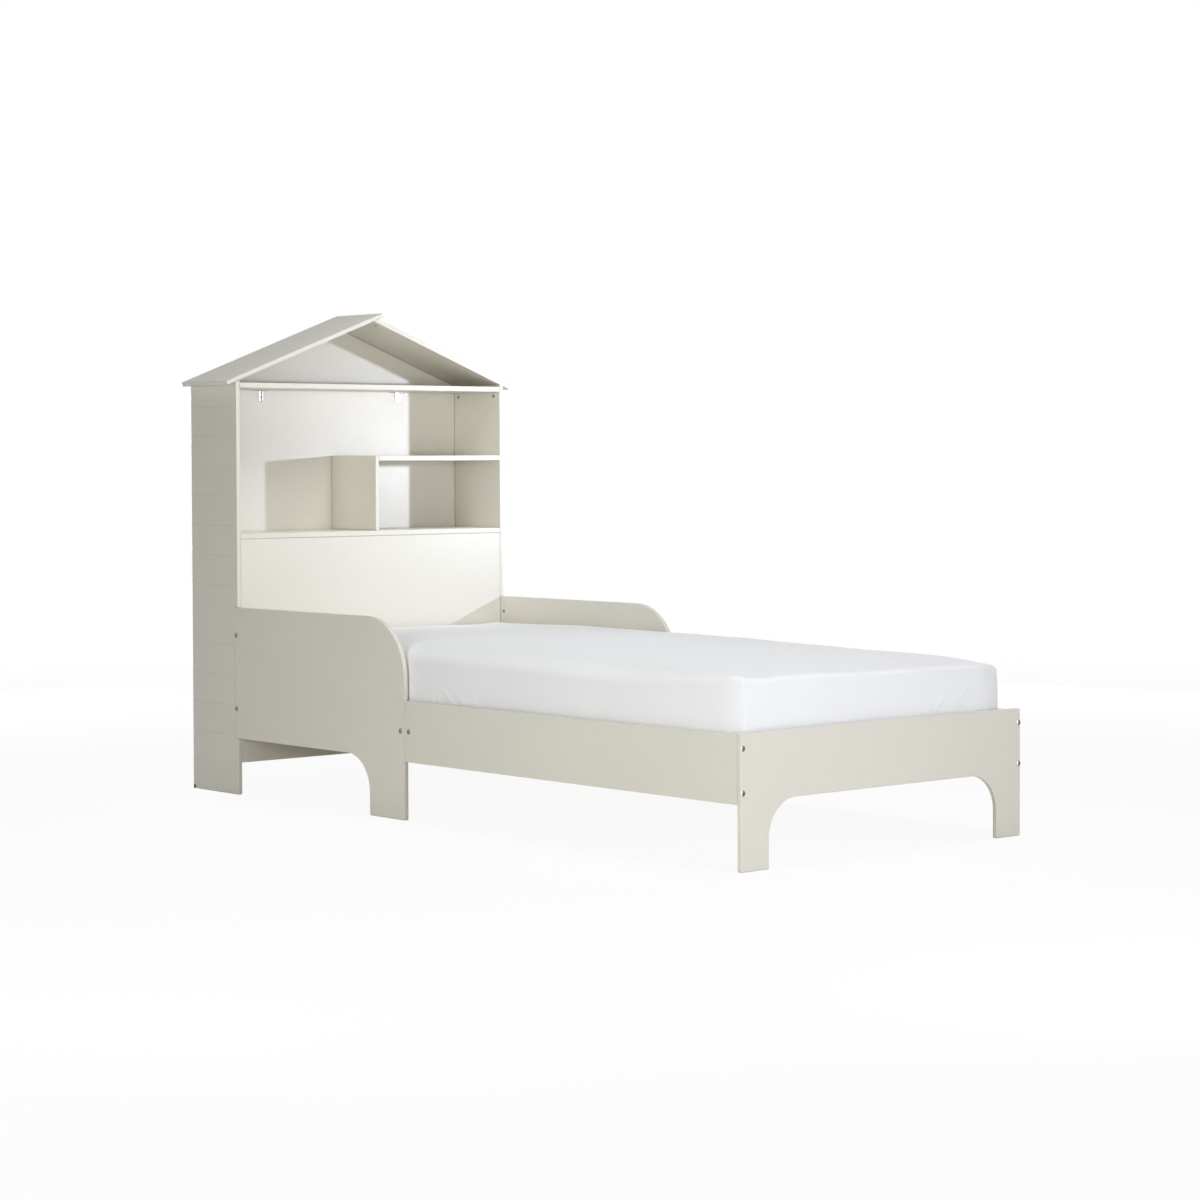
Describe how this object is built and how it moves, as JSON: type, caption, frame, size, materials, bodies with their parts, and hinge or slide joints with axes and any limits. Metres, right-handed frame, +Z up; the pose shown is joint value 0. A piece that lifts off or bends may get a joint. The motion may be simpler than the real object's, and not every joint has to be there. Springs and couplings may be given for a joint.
{
  "type": "house bed",
  "caption": "Low child's single bed with a house-shaped shelf headboard, arched side guards and footboard, slat base and a mattress in a fitted sheet.",
  "frame": {"origin": "middle of the footprint, on the floor", "axes": "+Z up, +Y towards the wall behind the house-shaped headboard, so the foot end is at -Y; +X across the bed, to the right as seen from the foot end"},
  "size_m": [1.012, 2.2544, 1.354],
  "materials": {
    "cream_paint": "satin",
    "fitted_sheet": "matte",
    "pine": "matte",
    "bright_zinc": "satin",
    "zinc_barrel": "satin",
    "rubber_pad": "matte"
  },
  "bodies": {
    "bed_frame": {"back_panel": "cream_paint", "batten_left": "pine", "batten_right": "pine", "divider": "cream_paint", "eave_dowel_left_1": "zinc_barrel", "eave_dowel_left_2": "zinc_barrel", "eave_dowel_right_1": "zinc_barrel", "eave_dowel_right_2": "zinc_barrel", "foot_bolt_left_1": "bright_zinc", "foot_bolt_left_2": "bright_zinc", "foot_bolt_right_1": "bright_zinc", "foot_bolt_right_2": "bright_zinc", "footboard": "cream_paint", "guard_bolt_left_1": "bright_zinc", "guard_bolt_left_2": "bright_zinc", "guard_bolt_right_1": "bright_zinc", "guard_bolt_right_2": "bright_zinc", "guard_dowel_left": "zinc_barrel", "guard_dowel_right": "zinc_barrel", "guard_left": "cream_paint", "guard_right": "cream_paint", "headboard_panel": "cream_paint", "lower_shelf": "cream_paint", "middle_shelf": "cream_paint", "rail_dowel_left_1": "zinc_barrel", "rail_dowel_left_2": "zinc_barrel", "rail_dowel_right_1": "zinc_barrel", "rail_dowel_right_2": "zinc_barrel", "rail_left": "cream_paint", "rail_right": "cream_paint", "ridge_dowel_1": "zinc_barrel", "ridge_dowel_2": "zinc_barrel", "roof_left": "cream_paint", "roof_right": "cream_paint", "seam_bolt_left_1": "bright_zinc", "seam_bolt_left_2": "bright_zinc", "seam_bolt_right_1": "bright_zinc", "seam_bolt_right_2": "bright_zinc", "shelf_bracket_left": "bright_zinc", "shelf_bracket_right": "bright_zinc", "side_panel_left": "cream_paint", "side_panel_right": "cream_paint", "slat_01": "pine", "slat_02": "pine", "slat_03": "pine", "slat_04": "pine", "slat_05": "pine", "slat_06": "pine", "slat_07": "pine", "slat_08": "pine", "slat_09": "pine", "slat_10": "pine", "slat_11": "pine", "slat_12": "pine", "top_shelf": "cream_paint", "wall_pad_left": "rubber_pad", "wall_pad_right": "rubber_pad"},
    "mattress": {"mattress": "fitted_sheet"}
  },
  "joints": [
    {"name": "mattress_lift", "type": "slide", "parent": "bed_frame", "child": "mattress", "axis": [0, 0, 1], "range_m": [0, 0.28]}
  ]
}
